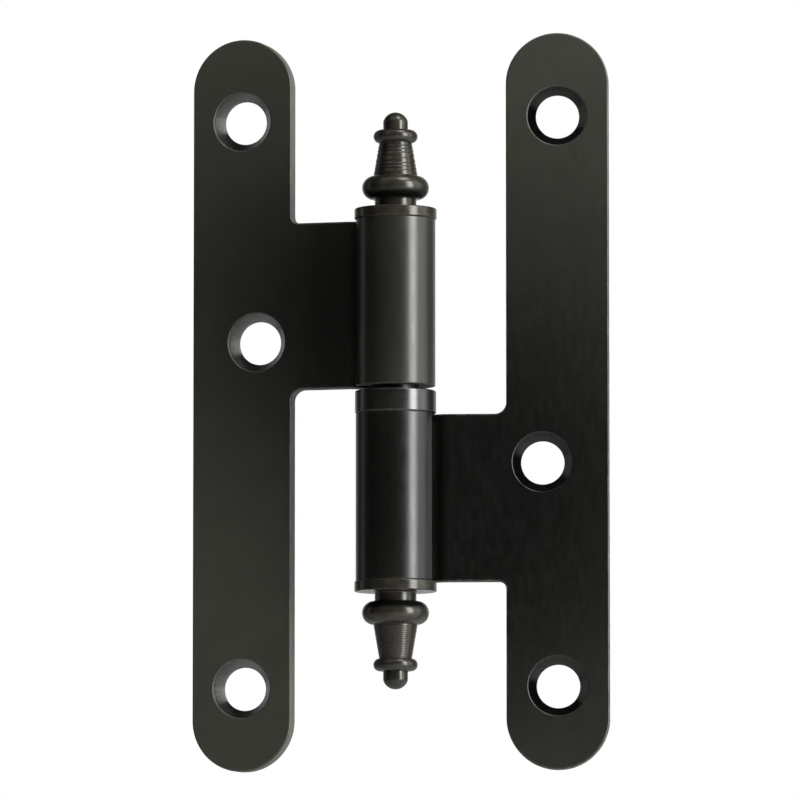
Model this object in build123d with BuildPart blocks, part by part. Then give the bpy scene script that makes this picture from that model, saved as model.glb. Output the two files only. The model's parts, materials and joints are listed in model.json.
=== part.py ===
from build123d import *
from math import acos, atan, atan2, cos, degrees, sin, sqrt
import os

# Lift-off hinge with turned finials. Millimetres, +Z up along the pin, front towards -Y.
# Both leaves are folded from one H-shaped blank. The lower leaf is the fixed one: the origin
# is on its back face, in the middle of its row of screw holes. The upper leaf lifts off the pin.

# Leaf blank
leaf_height = 140.0
strap_width = 19.5
strap_inset = 20.9  # pin axis to the inner edge of the strap
sheet = 3.0
leaf_setback = 0.8  # front face of a leaf behind the pin axis, half the gap of the closed hinge
tab_height = 31.8
tab_outer_fillet = 1.4
tab_inner_fillet = 2.2
edge_rounding = 0.3

# Screw holes, countersunk from the front
end_hole_inset = 15.8  # end of the strap to the centre of its end hole
middle_hole_inset = 9.2  # inner edge of the tab to the centre of the middle hole
middle_hole_shift = 2.9  # out of the row, towards the pin
screw_hole_dia = 8.2
countersink_dia = 11.4
hole_land = 0.4  # straight wall left behind the cone

# Knuckle, rolled from the tab, which leaves the leaf in a short bend back
pin_dia = 9.0
pin_clearance = 0.05  # radial, of the upper knuckle on the pin
bend_start = 10.1  # pin axis to where the leaf begins to bend back
bend_radius = 1.5  # inside radius of that bend
seam_angle = 20.0  # the rolled edge stops this far in front of the leaf's own side
seam_rounding = 0.4  # of the rolled edge's outer corner

# Thrust ring on the pin, between the knuckles
ring_overhang = 0.15  # beyond the knuckle, all round
ring_height = 4.3
ring_bore_clearance = 0.1
ring_chamfer = 0.25
ring_play = 0.9  # ring to the upper knuckle, whose plug bears on the end of the pin

# Finials, each turned with a plug that is pressed into the outer end of its knuckle
plug_length = 8.0
plug_chamfer = 0.5
collar_overhang = 0.25
collar_height = 2.0
collar_chamfer = 0.2
neck_dia = 7.9
neck_length = 1.8
bulb_dia = 12.7
bulb_height = 4.4
shank_base_dia = 8.3
shank_top_dia = 6.2
shank_length = 6.4
shank_land = 0.3
flange_dia = 8.4
flange_height = 2.2
tip_dia = 4.7
tip_land = 1.9
tip_dome_height = 1.75

# Pin, a press fit in the lower knuckle
pin_end_chamfer = 1.2

# Rest position: the hinge lies open, with the upper leaf swung a little past flat
past_flat_angle = 12.5

# Sizes that follow from these
bore_radius = pin_dia / 2 + pin_clearance
knuckle_radius = bore_radius + sheet
leaf_back = leaf_setback + sheet
strap_centre = strap_inset + strap_width / 2
end_hole_height = leaf_height / 2 - end_hole_inset
tab_inner = (ring_height + ring_play) / 2
tab_outer = tab_inner + tab_height
countersink_depth = sheet - hole_land
countersink_angle = 2 * degrees(atan((countersink_dia - screw_hole_dia) / 2 / countersink_depth))

# The bend is centred behind the leaf. From it the sheet crosses over in a straight run that
# touches both the bend and the roll.
bend_centre_y = leaf_back + bend_radius
bend_centre = (bend_start, bend_centre_y)
centre_distance = sqrt(bend_start**2 + bend_centre_y**2)
centre_direction = degrees(atan2(bend_centre_y, bend_start))
roll_start = centre_direction + degrees(acos((knuckle_radius + bend_radius) / centre_distance))

# Places. The blanks below have the pin axis at their origin.
pin_origin = (-strap_centre, -leaf_back, 0)
lower_half_place = Location(pin_origin)
end_for_end = Location((0, 0, 0), (0, 180, 0))
swing = Location((0, 0, 0), (0, 0, -past_flat_angle))
upper_half_place = lower_half_place * swing * end_for_end

os.makedirs("parts", exist_ok=True)


# The blank of both leaves: tab and knuckle below mid-height, strap towards +X
with BuildPart() as leaf_blank:
    with BuildSketch(Plane.XZ.offset(-leaf_back)) as outline:
        with Locations((strap_centre, 0)):
            SlotOverall(leaf_height, strap_width, rotation=90)
        with Locations((bend_start, -tab_outer)):
            Rectangle(strap_centre - bend_start, tab_height, align=(Align.MIN, Align.MIN))
        strap_edge = outline.edges().filter_by(Axis.Y).group_by(Axis.X)[1].sort_by(Axis.Y)
        outer_corner = strap_edge[0].vertices().sort_by(Axis.Y)[-1]
        inner_corner = strap_edge[-1].vertices().sort_by(Axis.Y)[0]
        fillet(outer_corner, tab_outer_fillet)
        fillet(inner_corner, tab_inner_fillet)
    extrude(amount=sheet)

    with BuildSketch(Plane.XY.offset(-tab_outer)) as section:
        with BuildLine():
            roll_sweep = 360 - seam_angle - roll_start
            bend_sweep = 90 - roll_start
            roll_outside = CenterArc((0, 0), knuckle_radius, roll_start, roll_sweep)
            roll_bore = CenterArc((0, 0), bore_radius, roll_start, roll_sweep)
            bend_back = CenterArc(bend_centre, bend_radius, 180 + roll_start, bend_sweep)
            bend_front = CenterArc(bend_centre, bend_radius + sheet, 180 + roll_start, bend_sweep)
            Line(bend_back @ 0, roll_outside @ 0)
            Line(bend_front @ 0, roll_bore @ 0)
            Line(roll_outside @ 1, roll_bore @ 1)
            Line(bend_back @ 1, bend_front @ 1)
        make_face()
        seam_corner = section.vertices().sort_by_distance(roll_outside @ 1)[0]
        fillet(seam_corner, seam_rounding)
    extrude(amount=tab_height)

    # The stamped edges are rounded all round, front and back
    flat_faces = leaf_blank.faces().filter_by(Axis.Y).sort_by(Axis.Y)
    rims = flat_faces[0].outer_wire().edges() + flat_faces[-1].outer_wire().edges()
    tangent_line = bend_start + edge_rounding
    fillet([edge for edge in rims if edge.center().X > tangent_line], edge_rounding)

    holes = [
        (strap_centre, end_hole_height),
        (strap_centre - middle_hole_shift, -tab_inner - middle_hole_inset),
        (strap_centre, -end_hole_height),
    ]
    front_face = Plane.XZ.offset(-leaf_setback)
    with Locations(*[front_face * Location((x, z, 0)) for x, z in holes]):
        CounterSinkHole(
            screw_hole_dia / 2,
            countersink_dia / 2,
            depth=sheet,
            counter_sink_angle=countersink_angle,
        )


with BuildPart() as lower_leaf:
    with Locations(lower_half_place):
        add(leaf_blank.part)


with BuildPart() as upper_leaf:
    with Locations(upper_half_place):
        add(leaf_blank.part)


# The pin: full bore size where it is pressed into the lower knuckle, then turned down to run
with BuildPart() as pin:
    with BuildSketch(Plane(origin=pin_origin, x_dir=(1, 0, 0), z_dir=(0, -1, 0))):
        with BuildLine():
            Polyline(
                (0, plug_length - tab_outer),
                (bore_radius, plug_length - tab_outer),
                (bore_radius, -tab_inner),
                (pin_dia / 2, -tab_inner),
                (pin_dia / 2, tab_outer - plug_length - pin_end_chamfer),
                (pin_dia / 2 - pin_end_chamfer, tab_outer - plug_length),
                (0, tab_outer - plug_length),
                close=True,
            )
        make_face()
    revolve(axis=Axis(pin_origin, (0, 0, 1)))


# The ring lies on the lower knuckle
with BuildPart() as thrust_ring:
    with BuildSketch(Plane.XY.offset(-tab_inner)):
        with Locations(pin_origin):
            Circle(knuckle_radius + ring_overhang)
            Circle(pin_dia / 2 + ring_bore_clearance, mode=Mode.SUBTRACT)
    extrude(amount=ring_height)
    chamfer(thrust_ring.edges().filter_by(GeomType.CIRCLE), ring_chamfer)


# The blank of both finials: its collar seats on the knuckle's end at z = 0
with BuildPart() as finial_blank:
    with BuildSketch(Plane.XZ):
        with BuildLine():
            collar_radius = knuckle_radius + collar_overhang
            neck_top = collar_height + neck_length
            bulb_top = neck_top + bulb_height
            shank_top = bulb_top + shank_length
            flange_top = shank_top + flange_height
            dome_base = flange_top + tip_land
            dome_top = dome_base + tip_dome_height
            dome_angle = 2 * atan2(tip_dome_height, tip_dia / 2)
            dome_radius = tip_dia / 2 / sin(dome_angle)
            plug_and_neck = Polyline(
                (0, dome_top),
                (0, -plug_length),
                (bore_radius - plug_chamfer, -plug_length),
                (bore_radius, plug_chamfer - plug_length),
                (bore_radius, 0),
                (collar_radius - collar_chamfer, 0),
                (collar_radius, collar_chamfer),
                (collar_radius, collar_height - collar_chamfer),
                (collar_radius - collar_chamfer, collar_height),
                (neck_dia / 2, collar_height),
                (neck_dia / 2, neck_top),
            )
            bulb = ThreePointArc(
                plug_and_neck @ 1,
                (bulb_dia / 2, (neck_top + bulb_top) / 2),
                (shank_base_dia / 2, bulb_top),
            )
            shank = Polyline(
                bulb @ 1,
                (shank_base_dia / 2, bulb_top + shank_land),
                (shank_top_dia / 2, shank_top),
            )
            flange = ThreePointArc(
                shank @ 1,
                (flange_dia / 2, (shank_top + flange_top) / 2),
                (tip_dia / 2, flange_top),
            )
            tip = Line(flange @ 1, (tip_dia / 2, dome_base))
            ThreePointArc(
                tip @ 1,
                (dome_radius * sin(dome_angle / 2), dome_top - dome_radius * (1 - cos(dome_angle / 2))),
                (0, dome_top),
            )
        make_face()
    revolve(axis=Axis.Z)


with BuildPart() as upper_finial:
    with Locations(lower_half_place * Location((0, 0, tab_outer))):
        add(finial_blank.part)


with BuildPart() as lower_finial:
    with Locations(lower_half_place * end_for_end * Location((0, 0, tab_outer))):
        add(finial_blank.part)


lower_leaf.part.label = "lower_leaf"
upper_leaf.part.label = "upper_leaf"
pin.part.label = "pin"
thrust_ring.part.label = "thrust_ring"
upper_finial.part.label = "upper_finial"
lower_finial.part.label = "lower_finial"

for piece in (lower_leaf, upper_leaf, pin, thrust_ring, upper_finial, lower_finial):
    export_step(piece.part, f"parts/{piece.part.label}.step")
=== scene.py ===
"""Finished surfaces, finishes and stage of a lift-off hinge with turned finials, in metres.

Each leaf is a flat blank with a softened rim and countersunk holes, folded at its bend and rolled
round the pin. The finials, the ring and the pin are turned profiles.
"""

import json
import math

import bmesh
import bpy
import numpy as np
from bpy.props import FloatProperty, FloatVectorProperty, PointerProperty
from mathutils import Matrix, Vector
from mathutils.geometry import tessellate_polygon


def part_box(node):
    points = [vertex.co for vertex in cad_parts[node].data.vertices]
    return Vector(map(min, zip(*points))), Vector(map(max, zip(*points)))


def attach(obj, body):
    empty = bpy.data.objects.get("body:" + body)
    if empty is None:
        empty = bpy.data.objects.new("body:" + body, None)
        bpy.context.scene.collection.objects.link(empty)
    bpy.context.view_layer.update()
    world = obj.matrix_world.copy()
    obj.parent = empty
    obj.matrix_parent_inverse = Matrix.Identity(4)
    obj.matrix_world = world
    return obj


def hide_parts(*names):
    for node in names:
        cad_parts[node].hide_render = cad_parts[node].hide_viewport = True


bl_info = {
    "name": "Lift-off hinge",
    "version": (1, 0, 0),
    "blender": (4, 5, 0),
    "location": "View3D > Sidebar > Hinge",
    "description": "Makes a lift-off hinge with rolled knuckles and turned finials",
    "category": "Add Mesh",
}

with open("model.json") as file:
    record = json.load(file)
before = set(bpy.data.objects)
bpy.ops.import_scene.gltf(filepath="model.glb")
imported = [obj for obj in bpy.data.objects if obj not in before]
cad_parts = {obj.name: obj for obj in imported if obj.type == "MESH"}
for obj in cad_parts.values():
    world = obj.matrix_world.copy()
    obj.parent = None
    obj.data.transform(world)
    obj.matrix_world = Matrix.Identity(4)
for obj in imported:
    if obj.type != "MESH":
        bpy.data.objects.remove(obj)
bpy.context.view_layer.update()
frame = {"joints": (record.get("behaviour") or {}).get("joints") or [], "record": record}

MM = 0.001

# Points round each turned piece and each hole
FINIAL_SEGMENTS = 112
RING_SEGMENTS = 160
PIN_SEGMENTS = 128
HOLE_SEGMENTS = 120
MERGE_DISTANCE = 4e-7

# Small roundings and steps of the turned pieces
PLUG_ROUNDING = 0.4 * MM
COLLAR_ROUNDINGS = (0.22 * MM, 0.25 * MM, 0.3 * MM)
SHANK_LAND = 0.3 * MM
SHANK_ROUNDING = 0.2 * MM
RING_ROUNDINGS = (0.15 * MM, 0.3 * MM, 0.3 * MM, 0.15 * MM)
RING_PLAY = 0.05 * MM
PIN_ROUNDINGS = (0.2 * MM, 0, 0, 0.3 * MM, 0.3 * MM)
PIN_CHAMFER = 1.2 * MM
RUNNING_STEP = 0.05 * MM

# The lathe's fine lines on the finials
TOOL_DEPTH = 0.0012 * MM
TOOL_PITCH = 0.31 * MM

# Where the finials' painted shade on the bulb's collar side fades out, in shares of the bulb's
# height
RECESS_SHADE_FADE = (0.22, 0.46)

# Distances from the tab's middle between which the black grows lighter: painted sheen in place of
# light on the leaves' far ends
LOWER_SHEEN_FADE = (8 * MM, 108 * MM)
UPPER_SHEEN_FADE = (0.0, 62 * MM)

joints = {joint["name"]: joint for joint in frame["joints"]}
mounts = {mount["name"]: mount for mount in frame["record"]["mounts"]}
leaf_low, leaf_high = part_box("lower_leaf")
ring_low, ring_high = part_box("thrust_ring")
pin_low, pin_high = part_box("pin")
pin_x, pin_y, _ = joints["swing"]["pos_m"]

# Sizes of the leaf blank, measured from the pin axis
knuckle_radius = pin_x - leaf_low.x
knuckle_inner = -ring_low.z
half_height = leaf_high.z
strap_outer = leaf_high.x - pin_x
leaf_back = mounts["lower_leaf_back"]["pos_m"][1] - pin_y
screw_row = mounts["lower_leaf_screws"]["pos_m"][0] - pin_x
end_hole_height = mounts["lower_leaf_screws"]["dims"]["pcd_mm"] * MM / 2
hole_radius = mounts["lower_leaf_screws"]["dims"]["hole_r_mm"] * MM
middle_hole_x = mounts["lower_leaf_middle_hole"]["pos_m"][0] - pin_x
middle_hole_z = mounts["lower_leaf_middle_hole"]["pos_m"][2]

# The upper leaf is the same blank turned end for end, then swung with its screws' direction
upper_axis = mounts["upper_leaf_screws"]["axis"]
upper_swing = math.atan2(-upper_axis[0], upper_axis[1])


def length(name, description, default_mm):
    """A length property, its default given in millimetres."""
    return FloatProperty(
        name=name, description=description, default=default_mm * MM, unit="LENGTH", precision=5
    )


def angle(name, description, default_degrees):
    """An angle property, its default given in degrees."""
    return FloatProperty(
        name=name, description=description, default=math.radians(default_degrees), subtype="ANGLE"
    )


def colour(name, description, default):
    """A linear colour property."""
    return FloatVectorProperty(
        name=name, description=description, default=default, subtype="COLOR", size=3, min=0, max=1
    )


class HingeLeafSizes(bpy.types.PropertyGroup):
    """Sizes of the blank that both leaves are folded from."""

    sheet: length("Sheet", "Thickness of the sheet", 3.0)
    strap_width: length("Strap width", "Width of the long strap", 19.5)
    knuckle_height: length("Knuckle height", "Height of the tab and its knuckle", 31.8)
    outer_fillet: length("Outer fillet", "Corner of strap and tab, at the tab's outer edge", 1.4)
    inner_fillet: length("Inner fillet", "Corner of strap and tab, at mid-height", 2.2)
    bend_start: length("Bend start", "Pin axis to where the leaf begins to bend back", 10.1)
    bend_radius: length("Bend radius", "Inside radius of the bend", 1.5)
    seam_angle: angle("Seam angle", "The rolled edge stops this far before the leaf", 20.0)
    seam_corner: length("Seam corner", "Corner radius at the ends of the rolled edge", 0.5)
    front_rounding: length("Front rounding", "Rounding of the front rim", 0.35)
    back_rounding: length("Back rounding", "Rounding of the back rim", 0.2)
    cut_wave: length("Cut wave", "Waviness of the sheared side", 0.02)
    countersink_dia: length("Countersink", "Countersink diameter at the front", 11.4)
    hole_land: length("Hole land", "Straight wall behind the cone", 0.4)
    lip_rounding: length("Lip rounding", "Rounding of the countersink's lip", 0.3)
    groove_depth: length("Groove depth", "Depth of the cutter's rings in the cone", 0.0065)
    groove_pitch: length("Groove pitch", "Distance between those rings", 0.30)


class HingeFinialSizes(bpy.types.PropertyGroup):
    """Sizes of the finials, from the knuckle's end outwards."""

    plug_dia: length("Plug", "Diameter of the plug in the knuckle", 9.1)
    plug_length: length("Plug length", "Length of the plug", 8.0)
    collar_overhang: length("Collar overhang", "Collar beyond the knuckle", 0.25)
    collar_height: length("Collar height", "Height of the collar", 2.0)
    neck_dia: length("Neck", "Diameter of the neck", 7.9)
    neck_length: length("Neck length", "Length of the neck", 1.8)
    bulb_dia: length("Bulb", "Diameter of the bulb", 12.7)
    bulb_height: length("Bulb height", "Height of the bulb", 4.4)
    shank_base_dia: length("Shank base", "Diameter of the shank at the bulb", 8.3)
    shank_top_dia: length("Shank top", "Diameter of the shank at the flange", 6.2)
    shank_length: length("Shank length", "Length of the shank", 6.4)
    flange_dia: length("Flange", "Diameter of the small flange", 8.4)
    flange_height: length("Flange height", "Height of the flange's round bead", 2.2)
    tip_dia: length("Tip", "Diameter of the tip", 4.7)
    tip_land: length("Tip land", "Straight part of the tip", 1.9)
    dome_height: length("Dome height", "Height of the tip's dome", 1.75)
    upper_ridge: length("Upper ridge", "Height of the ridges turned into the upper shank", 0.035)
    upper_pitch: length("Upper pitch", "Distance between those ridges", 0.85)
    lower_ridge: length("Lower ridge", "Height of the ridges turned into the lower shank", 0.010)
    lower_pitch: length("Lower pitch", "Distance between those ridges", 0.42)


class HingeFinishes(bpy.types.PropertyGroup):
    """Colours and gloss of the finishes."""

    black: colour("Black", "The upper leaf at its tab, and the ring", (0.0068, 0.0068, 0.0057))
    # Painted shade: the lower leaf's tab takes a darker copy of the black
    black_painted_shade: colour("Deep black", "The lower leaf at its tab", (0.0018, 0.0018, 0.0015))
    # Painted sheen: the lighter black of the leaves' far ends stands in for lamp light; on the ring
    # it gives random lighter speckles
    black_sheen_and_speckle: colour("Thin black", "The leaves far from the tab", (0.0440, 0.0436, 0.0350))
    sheared: colour("Sheared side", "The sheet's thinly coated side", (0.095, 0.108, 0.092))
    worn: colour("Worn rim", "Where the finish is thin on a rim", (0.060, 0.050, 0.034))
    # Painted light and shade: the upper leaf's cones are a bright copy, and the lower leaf's a dark
    # copy, of the same machined metal
    cone_painted_lit: colour("Bare cone", "The upper leaf's cones", (0.160, 0.160, 0.156))
    cone_painted_dark: colour("Black cone", "The lower leaf's cones", (0.034, 0.034, 0.032))
    bronze: colour("Dark bronze", "The finials' finish", (0.023, 0.0215, 0.016))
    bronze_light: colour("Lighter bronze", "Lighter clouds in the bronze", (0.043, 0.039, 0.028))
    # Painted shade for the bulb's side next to the collar
    recess_painted_shade: colour("Dark patina", "The finish in the finials' recesses", (0.004, 0.004, 0.003))
    # Painted shade: the pin is near black so the gaps between the knuckles and the ring look dark
    oiled_steel: colour("Oiled steel", "The pin", (0.045, 0.044, 0.041))
    gloss_low: FloatProperty(
        name="Smooth roughness", description="Roughness of the finish where smooth", default=0.28,
        subtype="FACTOR", min=0, max=1,
    )
    gloss_high: FloatProperty(
        name="Dull roughness", description="Roughness of the finish where dull", default=0.34,
        subtype="FACTOR", min=0, max=1,
    )


class HingeStage(bpy.types.PropertyGroup):
    """Camera, lamps, floor and background."""

    camera_azimuth: angle("Camera azimuth", "Camera to the right of the front", 3.13)
    camera_elevation: angle("Camera elevation", "Camera above the horizon", -5.26)
    camera_distance: length("Camera distance", "Camera to the pin", 1500.0)
    camera_aside: length("Camera aside", "Aim to the right of the pin", 0.84)
    camera_lens: FloatProperty(
        name="Lens", description="Focal length in millimetres", default=356.5
    )
    floor_height: length("Floor height", "Floor below the middle of the hinge", -230.0)
    floor_size: length("Floor size", "Side of the floor", 3200.0)
    room: colour("Room", "Light of the room in front of the hinge", (0.022, 0.022, 0.022))


def unit(vectors):
    """Each vector divided by its own length."""
    return vectors / np.linalg.norm(vectors, axis=-1, keepdims=True)


def softened(corners, radii):
    """Straight runs through the corners, each inner corner turned by an arc of its own radius.

    The arc touches both runs, so it starts at the radius over the tangent of half the corner's
    angle from the corner. A radius of 0 keeps the corner.
    """
    corners = np.array(corners, float)
    arc_step = math.radians(10)
    path = [corners[:1]]
    for before, corner, after, radius in zip(corners, corners[1:], corners[2:], radii):
        if radius == 0:
            path.append(corner[None])
            continue
        back, ahead = unit(before - corner), unit(after - corner)
        half = math.acos(np.clip(back @ ahead, -1, 1)) / 2
        turn = math.pi - 2 * half
        centre = corner + unit(back + ahead) * radius / math.sin(half)
        start = corner + back * radius / math.tan(half) - centre
        end = corner + ahead * radius / math.tan(half) - centre
        share = np.linspace(0, 1, max(3, math.ceil(turn / arc_step)) + 1)[:, None]
        arc = (np.sin((1 - share) * turn) * start + np.sin(share * turn) * end) / math.sin(turn)
        path.append(centre + arc)
    path.append(corners[-1:])
    return np.vstack(path)


def filled(path, spacing):
    """The path with points added, so that no run is longer than the spacing."""
    runs = np.linalg.norm(np.diff(path, axis=0), axis=1)
    parts = np.maximum(1, np.ceil(runs / spacing)).astype(int)
    first = np.repeat(np.arange(len(runs)), parts)
    share = (np.arange(parts.sum()) - np.repeat(np.cumsum(parts) - parts, parts)) / parts[first]
    points = path[first] + (path[first + 1] - path[first]) * share[:, None]
    return np.vstack([points, path[-1:]])


def bow(centre, radius, start, end, count):
    """An arc about the centre from the start angle to the end angle, in radians."""
    turn = np.linspace(start, end, count)
    return np.stack([centre[0] + radius * np.cos(turn), centre[1] + radius * np.sin(turn)], axis=1)


def arc_through(start, middle, end, count):
    """The arc from the start through the middle point to the end.

    Its centre is equally far from all three, and it turns from the first past the second.
    """
    start, middle, end = (np.array(point) for point in (start, middle, end))
    chords = 2 * np.stack([middle - start, end - start])
    centre = np.linalg.solve(chords, [middle @ middle - start @ start, end @ end - start @ start])
    spokes = np.stack([start, middle, end]) - centre
    turn = np.unwrap(np.arctan2(spokes[:, 1], spokes[:, 0]))
    return bow(centre, np.linalg.norm(spokes[0]), turn[0], turn[2], count)


def smooth_step(value, low, high):
    """0 below low, 1 above high, and three squares less two cubes of the share between."""
    share = np.clip((value - low) / (high - low), 0, 1)
    return share**2 * (3 - 2 * share)


def grid_faces(rows, columns, first=0, wrap=False):
    """The quads of a grid of points stored row by row, its last column joined to the first."""
    row = np.arange(rows - 1)[:, None]
    column = np.arange(columns if wrap else columns - 1)[None, :]
    after = (column + 1) % columns
    corners = [row * columns + column, row * columns + after]
    corners += [(row + 1) * columns + after, (row + 1) * columns + column]
    return (np.stack(corners, axis=-1) + first).reshape(-1, 4)


class Shell:
    """Points, faces and marks gathered for one closed mesh."""

    marks = ("rim", "cut", "machined", "recess")

    def __init__(self):
        self.points = []
        self.faces = []
        self.smooth = []
        self.values = {mark: [] for mark in self.marks}
        self.count = 0

    def add(self, points, faces, smooth=True, **marks):
        """Adds points and the faces between them, with a value of 0 to 1 for each mark."""
        points = np.asarray(points, float).reshape(-1, 3)
        self.points.append(points)
        self.faces += [[index + self.count for index in face] for face in faces]
        self.smooth += [smooth] * len(faces)
        for mark, values in self.values.items():
            values.append(np.broadcast_to(marks.get(mark, 0.0), len(points)))
        self.count += len(points)

    def piece(self, name, material):
        """The finished object: doubles merged, faces turned outwards."""
        mesh = bpy.data.meshes.new(name)
        mesh.from_pydata(np.vstack(self.points), [], self.faces)
        mesh.polygons.foreach_set("use_smooth", self.smooth)
        for mark, values in self.values.items():
            layer = mesh.attributes.new(mark, "FLOAT", "POINT")
            layer.data.foreach_set("value", np.concatenate(values).astype(np.float32))
        working = bmesh.new()
        working.from_mesh(mesh)
        bmesh.ops.remove_doubles(working, verts=working.verts, dist=MERGE_DISTANCE)
        bmesh.ops.recalc_face_normals(working, faces=working.faces)
        open_edges = sum(not edge.is_manifold for edge in working.edges)
        working.to_mesh(mesh)
        working.free()
        if open_edges:
            raise RuntimeError(f"{name} isn't closed: {open_edges} edges")
        made = bpy.data.objects.new(name, mesh)
        bpy.context.scene.collection.objects.link(made)
        mesh.materials.append(material)
        return made


class Fold:
    """Where a point of the flat blank lies once the tab is bent back and rolled round the pin.

    A point has a run, the distance along the sheet's middle from the start of the bend, negative
    on the flat leaf, and a depth behind the front face. The sheet turns back round the bend's
    centre, runs straight between the two circles, then turns round the pin.
    """

    def __init__(self, sizes):
        self.sheet = sizes.sheet
        self.start = sizes.bend_start
        self.bend_radius = sizes.bend_radius
        self.centre_y = leaf_back + sizes.bend_radius
        self.bore = knuckle_radius - sizes.sheet
        apart = math.hypot(self.start, self.centre_y)
        towards = math.atan2(self.centre_y, self.start)
        reach = knuckle_radius + sizes.bend_radius
        self.roll_start = towards + math.acos(reach / apart)
        self.bend_middle = sizes.bend_radius + sizes.sheet / 2
        self.roll_middle = self.bore + sizes.sheet / 2
        self.bend_run = (math.pi / 2 - self.roll_start) * self.bend_middle
        self.straight_run = math.sqrt(apart**2 - reach**2)
        self.roll_sweep = 2 * math.pi - sizes.seam_angle - self.roll_start
        self.total = self.bend_run + self.straight_run + self.roll_sweep * self.roll_middle

    def place(self, run, depth):
        """x and y from the pin axis."""
        turned = np.clip(run, 0, self.bend_run) / self.bend_middle
        bend_angle = 1.5 * math.pi - turned
        bend_reach = self.bend_radius + self.sheet - depth
        x = self.start + bend_reach * np.cos(bend_angle) - np.minimum(run, 0)
        y = self.centre_y + bend_reach * np.sin(bend_angle)
        along = np.clip(run - self.bend_run, 0, self.straight_run)
        x = x - along * math.sin(self.roll_start)
        y = y + along * math.cos(self.roll_start)
        rolled = run - self.bend_run - self.straight_run
        roll_angle = self.roll_start + np.maximum(rolled, 0) / self.roll_middle
        roll_reach = self.bore + depth
        x = np.where(rolled > 0, roll_reach * np.cos(roll_angle), x)
        y = np.where(rolled > 0, roll_reach * np.sin(roll_angle), y)
        return x, y


def blank_outline(sizes, fold):
    """The blank's outline in the flat, its outward directions, and three counts of its points.

    The first coordinate is the distance from the pin axis along the sheet, the second is height.
    The outline starts on the tab's outer edge, where the bend begins, and goes round the strap.
    The counts are of the points on the leaf, on one long edge of the roll and on its rolled edge.
    """
    spacing = 0.6 * MM
    radius = sizes.strap_width / 2
    inner = strap_outer - sizes.strap_width
    middle = strap_outer - radius
    end = half_height - radius
    tab_high = -knuckle_inner
    tab_low = -knuckle_inner - sizes.knuckle_height
    outer_centre = (inner - sizes.outer_fillet, tab_low - sizes.outer_fillet)
    inner_centre = (inner - sizes.inner_fillet, tab_high + sizes.inner_fillet)
    quarter = math.pi / 2
    on_leaf = [
        np.array([[fold.start, tab_low]]),
        bow(outer_centre, sizes.outer_fillet, quarter, 0, 12),
        bow((middle, -end), radius, -2 * quarter, 0, 90),
        bow((middle, end), radius, 0, 2 * quarter, 90),
        bow(inner_centre, sizes.inner_fillet, 0, -quarter, 14),
        np.array([[fold.start, tab_high]]),
    ]
    on_leaf = filled(np.vstack(on_leaf), spacing)

    corner = sizes.seam_corner
    last = fold.start - fold.total
    stations = np.concatenate([
        np.linspace(0, fold.bend_run, 7)[:-1],
        np.linspace(fold.bend_run, fold.bend_run + fold.straight_run, 8)[:-1],
        np.linspace(fold.bend_run + fold.straight_run, fold.total - corner, 120),
    ])
    across = fold.start - stations
    rolled_edge = np.vstack([
        bow((last + corner, tab_high - corner), corner, quarter, 2 * quarter, 7)[1:],
        bow((last + corner, tab_low + corner), corner, 2 * quarter, 3 * quarter, 7)[:-1],
    ])
    rolled_edge = filled(rolled_edge, spacing)
    high_edge = np.stack([across[1:], np.full(len(across) - 1, tab_high)], axis=1)
    low_edge = np.stack([across[:0:-1], np.full(len(across) - 1, tab_low)], axis=1)
    outline = np.vstack([on_leaf, high_edge, rolled_edge, low_edge])

    ahead = unit(np.roll(outline, -1, axis=0) - outline)
    along = ahead + unit(outline - np.roll(outline, 1, axis=0))
    outward = unit(np.stack([along[:, 1], -along[:, 0]], axis=1))
    return outline, outward, len(on_leaf), len(high_edge), len(rolled_edge)


def sheared_wave(outline):
    """Small waves along the sheared side: three sines of the distance round the outline."""
    steps = np.linalg.norm(np.diff(outline, axis=0, append=outline[:1]), axis=1)
    around = np.cumsum(steps) / MM
    wave = np.sin(around * 0.71)
    wave += 0.7 * np.sin(around * 1.63 + 1.0)
    wave += 0.5 * np.sin(around * 3.1 + 2.0)
    return wave / 2.2


def hole_wall(sizes):
    """Radius and depth down a countersunk hole, and the mark of its machined surface.

    It goes over the lip, down the cone with the cutter's rings, then past the land to the back
    edge. The margins at both ends are flat and lie in the leaf's faces.
    """
    front_margin, back_margin = 0.5 * MM, 0.25 * MM
    land_rounding, edge_rounding = 0.25 * MM, 0.12 * MM
    countersink = sizes.countersink_dia / 2
    cone_depth = sizes.sheet - sizes.hole_land
    corners = [
        (countersink + front_margin, 0),
        (countersink, 0),
        (hole_radius, cone_depth),
        (hole_radius, sizes.sheet),
        (hole_radius + back_margin, sizes.sheet),
    ]
    radii = [sizes.lip_rounding, land_rounding, edge_rounding]
    wall = filled(softened(corners, radii), 0.045 * MM)
    outward = unit(np.gradient(wall, axis=0))[:, ::-1] * (1, -1)
    depth = wall[:, 1]
    on_cone = smooth_step(depth, 0.25 * MM, 0.5 * MM)
    on_cone *= 1 - smooth_step(depth, cone_depth - 0.4 * MM, cone_depth - 0.2 * MM)
    uneven = 1.5 * np.sin(depth / MM * 2.2)
    rings = np.sin(2 * math.pi * depth / sizes.groove_pitch + uneven)
    machined = smooth_step(depth, 0.1 * MM, 0.3 * MM)
    machined *= 1 - smooth_step(depth, sizes.sheet - edge_rounding, sizes.sheet - 0.01 * MM)
    return wall + outward * (sizes.groove_depth * rings * on_cone)[:, None], machined


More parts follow.
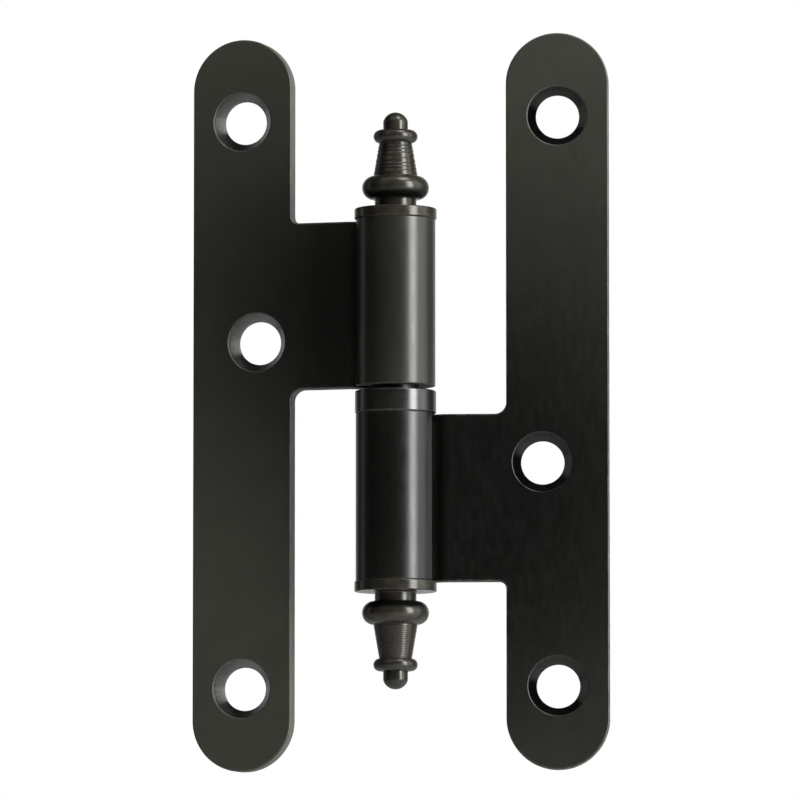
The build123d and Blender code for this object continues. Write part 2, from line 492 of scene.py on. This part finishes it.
def leaf_shell(sizes, turned):
    """One leaf, folded, at its place in the hinge. The turned one is end for end, and swung."""
    fold = Fold(sizes)
    outline, outward, leaf_count, edge_count, end_count = blank_outline(sizes, fold)
    count = len(outline)
    sheet = sizes.sheet
    shell = Shell()

    def placed(flat, depth):
        x, y = fold.place(fold.start - flat[..., 0], depth)
        z = flat[..., 1]
        if turned:
            x, z = -x, -z
        swing = upper_swing if turned else 0.0
        across = x * math.cos(swing) - y * math.sin(swing)
        back = x * math.sin(swing) + y * math.cos(swing)
        return np.stack([pin_x + across, pin_y + back, z], axis=-1)

    # The rim: a profile of inset and depth carried round the outline
    front, back = sizes.front_rounding, sizes.back_rounding
    profile = softened([(front * 2, 0), (0, 0), (0, sheet), (back * 2, sheet)], [front, back])[1:-1]
    profile = filled(profile, 0.35 * MM)
    inset, depth = profile[:, 0], profile[:, 1]
    on_side = smooth_step(depth, 0, front * 1.5)
    on_side *= 1 - smooth_step(depth, sheet - back * 1.5, sheet)
    wave = sizes.cut_wave * sheared_wave(outline)
    moved = inset[:, None] - np.outer(on_side * (0.4 + 0.6 * depth / sheet), wave)
    rim = outline[None] - outward[None] * moved[..., None]
    depths = np.broadcast_to(depth[:, None], rim.shape[:2])
    share = inset / np.where(depth < sheet / 2, front, back)
    rounding = 4 * share * (1 - share)
    shell.add(
        placed(rim, depths),
        grid_faces(len(profile), count, wrap=True),
        rim=np.repeat(np.clip(rounding, 0, 1), count),
        cut=np.repeat(on_side, count),
    )

    # The holes
    wall, machined = hole_wall(sizes)
    turn = np.linspace(0, 2 * math.pi, HOLE_SEGMENTS, endpoint=False)
    circle = np.stack([np.cos(turn), np.sin(turn)], axis=1)
    centres = [
        (screw_row, end_hole_height),
        (middle_hole_x, middle_hole_z),
        (screw_row, -end_hole_height),
    ]
    loops = []
    for centre in centres:
        flat = np.array(centre) + circle[None] * wall[:, None, :1]
        depths = np.broadcast_to(wall[:, 1:2], flat.shape[:2])
        shell.add(
            placed(flat, depths),
            grid_faces(len(wall), len(turn), wrap=True),
            machined=np.repeat(machined, len(turn)),
        )
        loops.append((flat[0], flat[-1]))

    # Front and back faces: flat between the rim and the holes, then strips round the roll
    for side, row in ((0, 0), (1, -1)):
        level = 0.0 if side == 0 else sheet
        edge = rim[row]
        flat = [edge[:leaf_count]] + [loop[side] for loop in loops]
        triangles = tessellate_polygon([[Vector((*point, 0)) for point in loop] for loop in flat])
        points = np.vstack(flat)
        shell.add(placed(points, np.full(len(points), level)), triangles, smooth=False)

        high = np.vstack([edge[leaf_count - 1], edge[leaf_count:leaf_count + edge_count]])
        low = np.vstack([edge[0], edge[:-edge_count - 1:-1]])
        strips = np.stack([high, low])
        shell.add(placed(strips, np.full(strips.shape[:2], level)), grid_faces(2, edge_count + 1))
        cap = edge[leaf_count + edge_count - 1:leaf_count + edge_count + end_count + 1]
        shell.add(placed(cap, np.full(len(cap), level)), [list(range(len(cap)))])
    return shell


def turned_shell(profile, segments, start, direction, closed_loop=False, recess=0.0):
    """A profile of radius and height turned round the pin axis.

    x and y are the radius times the cosine and sine of the angle, and z is the start plus the
    height in the given direction. A closed loop's last point is joined to its first, and the
    recess shade is the value of that painted-shade mark at each point of the profile.
    """
    turn = np.linspace(0, 2 * math.pi, segments, endpoint=False)
    if closed_loop:
        profile = np.vstack([profile, profile[:1]])
    radius, height = profile[:, :1], profile[:, 1:]
    x = pin_x + radius * np.cos(turn)
    y = pin_y + radius * np.sin(turn)
    z = np.broadcast_to(start + direction * height, x.shape)
    shell = Shell()
    faces = grid_faces(len(profile), segments, wrap=True)
    mark = np.broadcast_to(recess, x.T.shape).T.ravel()
    shell.add(np.stack([x, y, z], axis=-1), faces, recess=mark)
    return shell


def finial_profile(sizes, ridge, pitch):
    """Radius and height of a finial, with ridges of that height and pitch turned into its shank.

    With them comes the mark of painted shade on the bulb's side next to the collar.
    """
    collar = knuckle_radius + sizes.collar_overhang
    neck = sizes.neck_dia / 2
    plug = sizes.plug_dia / 2
    shank_base, shank_tip = sizes.shank_base_dia / 2, sizes.shank_top_dia / 2
    tip = sizes.tip_dia / 2
    neck_top = sizes.collar_height + sizes.neck_length
    bulb_top = neck_top + sizes.bulb_height
    shank_top = bulb_top + sizes.shank_length
    flange_top = shank_top + sizes.flange_height
    dome_base = flange_top + sizes.tip_land

    plug_part = [(0, -sizes.plug_length), (plug, -sizes.plug_length), (plug, 0)]
    plug_part = filled(softened(plug_part, [PLUG_ROUNDING]), 1.0 * MM)
    collar_part = [
        (plug, 0),
        (collar, 0),
        (collar, sizes.collar_height),
        (neck, sizes.collar_height),
        (neck, neck_top),
    ]
    collar_part = softened(collar_part, COLLAR_ROUNDINGS)
    bulb_middle = (sizes.bulb_dia / 2, (neck_top + bulb_top) / 2)
    bulb = arc_through((neck, neck_top), bulb_middle, (shank_base, bulb_top), 60)
    land_top = bulb_top + SHANK_LAND
    shank_part = [(shank_base, bulb_top), (shank_base, land_top), (shank_tip, shank_top)]
    shank_part = softened(shank_part, [SHANK_ROUNDING])
    rim = (sizes.flange_dia / 2, (shank_top + flange_top) / 2)
    flange = arc_through((shank_tip, shank_top), rim, (tip, flange_top), 40)
    dome_turn = 2 * math.atan2(sizes.dome_height, tip)
    dome_radius = tip / math.sin(dome_turn)
    dome_centre = (0, dome_base + sizes.dome_height - dome_radius)
    dome = bow(dome_centre, dome_radius, math.pi / 2 - dome_turn, math.pi / 2, 30)
    turned_part = [collar_part, bulb[1:], shank_part[1:], flange[1:], dome]
    turned_part = filled(np.vstack(turned_part), 0.08 * MM)

    height = turned_part[:, 1]
    outward = unit(np.gradient(turned_part, axis=0))[:, ::-1] * (1, -1)
    on_shank = smooth_step(height, land_top, bulb_top + 0.8 * MM)
    on_shank *= 1 - smooth_step(height, shank_top - 0.35 * MM, shank_top - 0.15 * MM)
    uneven = height / pitch + 0.22 * np.sin(height / MM * 1.9)
    tool_turn = 2 * math.pi * height / TOOL_PITCH + 2 * np.sin(height / MM * 1.3)
    tool_lines = TOOL_DEPTH * np.sin(tool_turn)
    tool_lines *= smooth_step(turned_part[:, 0], 0.6 * MM, 1.4 * MM)
    lift = ridge * np.sin(2 * math.pi * uneven) * on_shank + tool_lines
    profile = np.vstack([plug_part, turned_part[1:] + outward[1:] * lift[1:, None]])
    # Painted shade: a dark band on the bulb's side next to the collar, where shade falls
    recess = smooth_step(profile[:, 1], neck_top - 0.2 * MM, neck_top + 0.3 * MM)
    fade_start, fade_end = (neck_top + share * sizes.bulb_height for share in RECESS_SHADE_FADE)
    recess *= 1 - smooth_step(profile[:, 1], fade_start, fade_end)
    return profile, recess


def new_material(name):
    """An empty node material with its principled shader."""
    material = bpy.data.materials.new(name)
    material.use_nodes = True
    return material, material.node_tree, material.node_tree.nodes["Principled BSDF"]


def noise(tree, scale, detail=3.0, roughness=0.55, stretch=(1, 1, 1)):
    """Noise on Object coordinates, stretched along the axes, as a factor."""
    place = tree.nodes.new("ShaderNodeTexCoord")
    mapping = tree.nodes.new("ShaderNodeMapping")
    mapping.inputs["Scale"].default_value = stretch
    texture = tree.nodes.new("ShaderNodeTexNoise")
    texture.inputs["Scale"].default_value = scale
    texture.inputs["Detail"].default_value = detail
    texture.inputs["Roughness"].default_value = roughness
    tree.links.new(place.outputs["Object"], mapping.inputs["Vector"])
    tree.links.new(mapping.outputs["Vector"], texture.inputs["Vector"])
    return texture.outputs["Fac"]


def attribute(tree, name):
    """The value of one of the mesh's marks."""
    found = tree.nodes.new("ShaderNodeAttribute")
    found.attribute_name = name
    return found.outputs["Fac"]


def ranged(tree, value, low, high, to_low=0.0, to_high=1.0):
    """The value's range from low to high carried to another range, and held at its ends."""
    mapper = tree.nodes.new("ShaderNodeMapRange")
    tree.links.new(value, mapper.inputs["Value"])
    sockets = ("From Min", "From Max", "To Min", "To Max")
    for socket, number in zip(sockets, (low, high, to_low, to_high)):
        mapper.inputs[socket].default_value = number
    return mapper.outputs["Result"]


def product(tree, first, second):
    """Two factors multiplied."""
    maths = tree.nodes.new("ShaderNodeMath")
    maths.operation = "MULTIPLY"
    tree.links.new(first, maths.inputs[0])
    tree.links.new(second, maths.inputs[1])
    return maths.outputs[0]


def mixed(tree, factor, first, second):
    """A mix of two colours, each a socket or a linear colour."""
    mixer = tree.nodes.new("ShaderNodeMix")
    mixer.data_type = "RGBA"
    tree.links.new(factor, mixer.inputs[0])
    for index, tint in ((6, first), (7, second)):
        if isinstance(tint, bpy.types.NodeSocket):
            tree.links.new(tint, mixer.inputs[index])
        else:
            mixer.inputs[index].default_value = (*tint, 1)
    return mixer.outputs[2]


def mixed_value(tree, factor, first, second):
    """A mix of two values, each a socket or a number."""
    mixer = tree.nodes.new("ShaderNodeMix")
    mixer.data_type = "FLOAT"
    tree.links.new(factor, mixer.inputs[0])
    for index, number in ((2, first), (3, second)):
        if isinstance(number, bpy.types.NodeSocket):
            tree.links.new(number, mixer.inputs[index])
        else:
            mixer.inputs[index].default_value = number
    return mixer.outputs[0]


def bumped(tree, shader, layers):
    """Bump from several heights, each given with its strength and depth in metres."""
    normal = None
    for height, strength, depth in layers:
        bump = tree.nodes.new("ShaderNodeBump")
        bump.inputs["Strength"].default_value = strength
        bump.inputs["Distance"].default_value = depth
        tree.links.new(height, bump.inputs["Height"])
        if normal is not None:
            tree.links.new(normal, bump.inputs["Normal"])
        normal = bump.outputs["Normal"]
    tree.links.new(normal, shader.inputs["Normal"])


def far_from(tree, point, near, far):
    """0 within the near distance of a point, 1 beyond the far one, and smooth between."""
    place = tree.nodes.new("ShaderNodeTexCoord")
    apart = tree.nodes.new("ShaderNodeVectorMath")
    apart.operation = "DISTANCE"
    apart.inputs[1].default_value = point
    tree.links.new(place.outputs["Object"], apart.inputs[0])
    mapper = tree.nodes.new("ShaderNodeMapRange")
    mapper.interpolation_type = "SMOOTHSTEP"
    mapper.inputs["From Min"].default_value = near
    mapper.inputs["From Max"].default_value = far
    tree.links.new(apart.outputs["Value"], mapper.inputs["Value"])
    return mapper.outputs["Result"]


def black_satin(name, finishes, lacquer, cone, tab_centre, near, far):
    """A leaf's finish: black lacquer, lighter far from the tab as painted sheen, and thinner on
    rims and on the sheared side.
    """
    material, tree, shader = new_material(name)
    clouds = noise(tree, 130)
    streaks = noise(tree, 900, detail=4, stretch=(1, 1, 0.35))
    grain = noise(tree, 5200, detail=2)
    # Painted sheen: the black grows lighter with distance from the tab, in place of light on the
    # leaves' ends
    painted_sheen = far_from(tree, tab_centre, near, far)
    painted_sheen = product(tree, painted_sheen, ranged(tree, clouds, 0.3, 0.7, 0.85, 1.0))
    tint = mixed(tree, painted_sheen, lacquer, finishes.black_sheen_and_speckle)
    thin = product(tree, attribute(tree, "rim"), ranged(tree, streaks, 0.42, 0.62))
    tint = mixed(tree, thin, tint, finishes.worn)
    side = product(tree, attribute(tree, "cut"), ranged(tree, streaks, 0.2, 0.7, 0.55, 1.0))
    tint = mixed(tree, side, tint, finishes.sheared)
    machined = attribute(tree, "machined")
    tint = mixed(tree, machined, tint, cone)
    dull = ranged(tree, streaks, 0.35, 0.65, finishes.gloss_low, finishes.gloss_high)
    dull = mixed_value(tree, attribute(tree, "cut"), dull, 0.6)
    dull = mixed_value(tree, machined, dull, 0.24)
    tree.links.new(tint, shader.inputs["Base Color"])
    tree.links.new(dull, shader.inputs["Roughness"])
    tree.links.new(machined, shader.inputs["Metallic"])
    bumped(tree, shader, [(clouds, 0.08, 3e-5), (streaks, 0.06, 6e-6), (grain, 0.2, 3e-6)])
    return material


def ring_satin(finishes):
    """The ring's finish: the same black on turned steel, a little smoother."""
    material, tree, shader = new_material("ring_satin")
    clouds = noise(tree, 240)
    lines = noise(tree, 500, detail=4, stretch=(1, 1, 14))
    speckled = ranged(tree, clouds, 0.35, 0.65, 0.0, 0.15)
    tint = mixed(tree, speckled, finishes.black, finishes.black_sheen_and_speckle)
    tree.links.new(tint, shader.inputs["Base Color"])
    dull = ranged(tree, lines, 0.3, 0.7, finishes.gloss_low - 0.06, finishes.gloss_high - 0.06)
    tree.links.new(dull, shader.inputs["Roughness"])
    shader.inputs["Specular IOR Level"].default_value = 0.8
    bumped(tree, shader, [(clouds, 0.1, 2e-5), (lines, 0.3, 3e-6)])
    return material


def dark_bronze(finishes):
    """The finials' finish: dark metal with turning lines and lighter clouds, and painted shade,
    dark and dull, on the bulb's side next to the collar.
    """
    material, tree, shader = new_material("dark_bronze")
    clouds = noise(tree, 420, detail=5, roughness=0.65)
    lines = noise(tree, 420, detail=5, stretch=(1, 1, 11))
    tint = mixed(tree, ranged(tree, clouds, 0.38, 0.66), finishes.bronze, finishes.bronze_light)
    recess = attribute(tree, "recess")
    # Painted shade: near black and with little reflection on the bulb's collar side
    tint = mixed(tree, recess, tint, finishes.recess_painted_shade)
    tree.links.new(tint, shader.inputs["Base Color"])
    tree.links.new(mixed_value(tree, recess, 0.5, 0.08), shader.inputs["Specular IOR Level"])
    tree.links.new(mixed_value(tree, recess, 0.3, 0.0), shader.inputs["Metallic"])
    tree.links.new(ranged(tree, lines, 0.3, 0.7, 0.20, 0.29), shader.inputs["Roughness"])
    bumped(tree, shader, [(clouds, 0.25, 2e-5), (lines, 0.35, 5e-6)])
    return material


def oiled_steel(finishes):
    """The pin: turned steel, near black as painted shade for the gaps where it shows."""
    material, tree, shader = new_material("oiled_steel")
    lines = noise(tree, 380, detail=5, stretch=(1, 1, 16))
    film = noise(tree, 300)
    dark = tuple(0.6 * part for part in finishes.oiled_steel)
    tint = mixed(tree, ranged(tree, film, 0.35, 0.65), dark, finishes.oiled_steel)
    tree.links.new(tint, shader.inputs["Base Color"])
    tree.links.new(ranged(tree, lines, 0.3, 0.7, 0.24, 0.4), shader.inputs["Roughness"])
    shader.inputs["Metallic"].default_value = 1.0
    bumped(tree, shader, [(lines, 0.4, 4e-6)])
    return material


def settle(piece, body, node):
    """Lets a piece stand for its node and move with its body."""
    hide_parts(node)
    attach(piece, body)


class HingeLeaves(bpy.types.Operator):
    """Folds both leaves from one blank"""

    bl_idname = "hinge.leaves"
    bl_label = "Leaves"

    def execute(self, context):
        sizes = context.scene.hinge_leaf
        finishes = context.scene.hinge_finishes
        reach = (sizes.bend_start + strap_outer - sizes.strap_width) / 2
        height = knuckle_inner + sizes.knuckle_height / 2
        aside, back = reach * math.cos(upper_swing), reach * math.sin(upper_swing)
        lower_tab = (pin_x + reach, pin_y, -height)
        upper_tab = (pin_x - aside, pin_y - back, height)
        # Painted shade: the lower leaf takes the darker black and the dark cones
        lacquer, cone = finishes.black_painted_shade, finishes.cone_painted_dark
        finish = black_satin("black_satin_lower", finishes, lacquer, cone, lower_tab, *LOWER_SHEEN_FADE)
        lower = leaf_shell(sizes, turned=False).piece("lower_leaf_finished", finish)
        settle(lower, "lower_half", "lower_leaf")
        # Painted light: the upper leaf takes the lighter black, the bright cones and a sheen that
        # starts sooner
        lacquer, cone = finishes.black, finishes.cone_painted_lit
        finish = black_satin("black_satin_upper", finishes, lacquer, cone, upper_tab, *UPPER_SHEEN_FADE)
        upper = leaf_shell(sizes, turned=True).piece("upper_leaf_finished", finish)
        settle(upper, "upper_half", "upper_leaf")
        return {"FINISHED"}


class HingeFinials(bpy.types.Operator):
    """Turns the two finials from one profile"""

    bl_idname = "hinge.finials"
    bl_label = "Finials"

    def execute(self, context):
        sizes = context.scene.hinge_finial
        seat = knuckle_inner + context.scene.hinge_leaf.knuckle_height
        finish = dark_bronze(context.scene.hinge_finishes)
        upper, recess = finial_profile(sizes, sizes.upper_ridge, sizes.upper_pitch)
        shell = turned_shell(upper, FINIAL_SEGMENTS, seat, 1, recess=recess)
        piece = shell.piece("upper_finial_turned", finish)
        settle(piece, "upper_half", "upper_finial")
        lower, recess = finial_profile(sizes, sizes.lower_ridge, sizes.lower_pitch)
        shell = turned_shell(lower, FINIAL_SEGMENTS, -seat, -1, recess=recess)
        piece = shell.piece("lower_finial_turned", finish)
        settle(piece, "lower_half", "lower_finial")
        return {"FINISHED"}


class HingeRing(bpy.types.Operator):
    """Turns the ring that lies between the knuckles"""

    bl_idname = "hinge.ring"
    bl_label = "Ring"

    def execute(self, context):
        outer = (ring_high.x - ring_low.x) / 2
        height = ring_high.z - ring_low.z
        bore = context.scene.hinge_finial.plug_dia / 2 + RING_PLAY
        middle = height / 2
        corners = [
            (bore, middle),
            (bore, 0),
            (outer, 0),
            (outer, height),
            (bore, height),
            (bore, middle),
        ]
        profile = softened(corners, RING_ROUNDINGS)[:-1]
        profile = filled(profile, 0.25 * MM)
        shell = turned_shell(profile, RING_SEGMENTS, ring_low.z, 1, closed_loop=True)
        piece = shell.piece("thrust_ring_turned", ring_satin(context.scene.hinge_finishes))
        settle(piece, "ring", "thrust_ring")
        return {"FINISHED"}


class HingePin(bpy.types.Operator):
    """Turns the pin, a little thinner above the lower knuckle"""

    bl_idname = "hinge.pin"
    bl_label = "Pin"

    def execute(self, context):
        fit = (pin_high.x - pin_low.x) / 2
        running = fit - RUNNING_STEP
        height = pin_high.z - pin_low.z
        shoulder = ring_low.z - pin_low.z
        corners = [
            (0, 0),
            (fit, 0),
            (fit, shoulder),
            (running, shoulder),
            (running, height - PIN_CHAMFER),
            (running - PIN_CHAMFER, height),
            (0, height),
        ]
        profile = softened(corners, PIN_ROUNDINGS)
        shell = turned_shell(filled(profile, 1.0 * MM), PIN_SEGMENTS, pin_low.z, 1)
        piece = shell.piece("pin_turned", oiled_steel(context.scene.hinge_finishes))
        settle(piece, "lower_half", "pin")
        return {"FINISHED"}


def direction(azimuth, elevation):
    """A unit direction: azimuth 0 points to the front, and grows to the right."""
    flat = math.cos(elevation)
    return Vector((math.sin(azimuth) * flat, -math.cos(azimuth) * flat, math.sin(elevation)))


def softbox(name, azimuth, elevation, distance, size, radiance, centre):
    """A soft rectangular lamp of that radiance, turned towards the middle of the hinge.

    Its power is the radiance times pi times its area.
    """
    lamp = bpy.data.lights.new(name, "AREA")
    lamp.shape = "RECTANGLE"
    lamp.size, lamp.size_y = size
    lamp.energy = radiance * math.pi * size[0] * size[1]
    made = bpy.data.objects.new(name, lamp)
    bpy.context.scene.collection.objects.link(made)
    made.location = centre + direction(math.radians(azimuth), math.radians(elevation)) * distance
    facing = centre - made.location
    made.rotation_mode = "QUATERNION"
    made.rotation_quaternion = facing.to_track_quat("-Z", "Y")
    made.visible_camera = False


def studio_world(stage):
    """White where the camera looks and behind the hinge, and the dimmer room in front of it."""
    world = bpy.data.worlds.new("studio")
    world.use_nodes = True
    tree = world.node_tree
    background = tree.nodes["Background"]
    place = tree.nodes.new("ShaderNodeTexCoord")
    parts = tree.nodes.new("ShaderNodeSeparateXYZ")
    tree.links.new(place.outputs["Generated"], parts.inputs["Vector"])
    behind = ranged(tree, parts.outputs["Y"], 0.7, 1.0)
    rays = tree.nodes.new("ShaderNodeLightPath")
    seen = tree.nodes.new("ShaderNodeMath")
    seen.operation = "MAXIMUM"
    tree.links.new(rays.outputs["Is Glossy Ray"], seen.inputs[0])
    tree.links.new(rays.outputs["Is Transmission Ray"], seen.inputs[1])
    backdrop = product(tree, seen.outputs[0], behind)
    shown = tree.nodes.new("ShaderNodeMath")
    shown.operation = "MAXIMUM"
    tree.links.new(rays.outputs["Is Camera Ray"], shown.inputs[0])
    tree.links.new(backdrop, shown.inputs[1])
    tint = mixed(tree, shown.outputs[0], stage.room, (1, 1, 1))
    tree.links.new(tint, background.inputs["Color"])
    bpy.context.scene.world = world


def pale_floor(stage):
    """A flat floor below the hinge."""
    half = stage.floor_size / 2
    side = np.linspace(-half, half, 3)
    x, y = np.meshgrid(side + pin_x, side + pin_y)
    points = np.stack([x, y, np.full(x.shape, stage.floor_height)], axis=-1).reshape(-1, 3)
    mesh = bpy.data.meshes.new("floor")
    mesh.from_pydata(points, [], grid_faces(3, 3).tolist())
    floor = bpy.data.objects.new("floor", mesh)
    bpy.context.scene.collection.objects.link(floor)
    material, tree, shader = new_material("pale_paper")
    tint = mixed(tree, noise(tree, 40), (0.80, 0.80, 0.80), (0.84, 0.84, 0.84))
    tree.links.new(tint, shader.inputs["Base Color"])
    shader.inputs["Roughness"].default_value = 0.9
    mesh.materials.append(material)


class HingeStudio(bpy.types.Operator):
    """Sets up the floor, the background, the lamps and the camera"""

    bl_idname = "hinge.studio"
    bl_label = "Studio"

    def execute(self, context):
        stage = context.scene.hinge_stage
        context.scene.view_settings.view_transform = "Standard"
        studio_world(stage)
        pale_floor(stage)
        centre = Vector((pin_x, pin_y, 0))
        # Name, azimuth and elevation in degrees, distance, width and height, radiance
        lamps = [
            ("key", 55, 12, 0.95, (0.32, 0.96), 15.0),
            ("high", 52, 64, 0.9, (0.34, 0.34), 8.5),
            ("side", 87, 15, 0.95, (0.38, 0.9), 2.2),
            ("left", -114, 8, 1.2, (0.6, 1.0), 0.5),
            ("front left", -40, 40, 1.0, (0.6, 0.6), 0.4),
            ("above", 0, 72, 0.8, (0.9, 0.5), 0.6),
        ]
        for name, azimuth, elevation, distance, size, radiance in lamps:
            softbox(name, azimuth, elevation, distance, size, radiance, centre)

        camera = bpy.data.objects.new("camera", bpy.data.cameras.new("camera"))
        context.scene.collection.objects.link(camera)
        camera.data.lens = stage.camera_lens
        camera.data.sensor_width = 36.0
        right = Vector((math.cos(stage.camera_azimuth), math.sin(stage.camera_azimuth), 0))
        back = direction(stage.camera_azimuth, stage.camera_elevation)
        camera.location = centre + right * stage.camera_aside + back * stage.camera_distance
        camera.rotation_mode = "QUATERNION"
        camera.rotation_quaternion = (-back).to_track_quat("-Z", "Y")
        camera.data.clip_start, camera.data.clip_end = 0.01, 50.0
        context.scene.camera = camera
        return {"FINISHED"}


class HingePanel(bpy.types.Panel):
    """Lists the hinge's pieces, sizes and finishes"""

    bl_idname = "VIEW3D_PT_hinge"
    bl_label = "Lift-off hinge"
    bl_space_type = "VIEW_3D"
    bl_region_type = "UI"
    bl_category = "Hinge"

    def draw(self, context):
        for operator in OPERATORS:
            self.layout.operator(operator.bl_idname)
        for name, group in GROUPS.items():
            box = self.layout.box()
            for size in group.__annotations__:
                box.prop(getattr(context.scene, name), size)


GROUPS = {
    "hinge_leaf": HingeLeafSizes,
    "hinge_finial": HingeFinialSizes,
    "hinge_finishes": HingeFinishes,
    "hinge_stage": HingeStage,
}
OPERATORS = (HingeLeaves, HingeFinials, HingeRing, HingePin, HingeStudio)
CLASSES = (*GROUPS.values(), *OPERATORS, HingePanel)


def register():
    for kind in CLASSES:
        bpy.utils.register_class(kind)
    for name, group in GROUPS.items():
        setattr(bpy.types.Scene, name, PointerProperty(type=group))


def unregister():
    for name in GROUPS:
        delattr(bpy.types.Scene, name)
    for kind in reversed(CLASSES):
        bpy.utils.unregister_class(kind)


def main():
    """Makes the hinge and its stage."""
    register()
    bpy.ops.hinge.leaves()
    bpy.ops.hinge.finials()
    bpy.ops.hinge.ring()
    bpy.ops.hinge.pin()
    bpy.ops.hinge.studio()


if __name__ == "__main__":
    main()
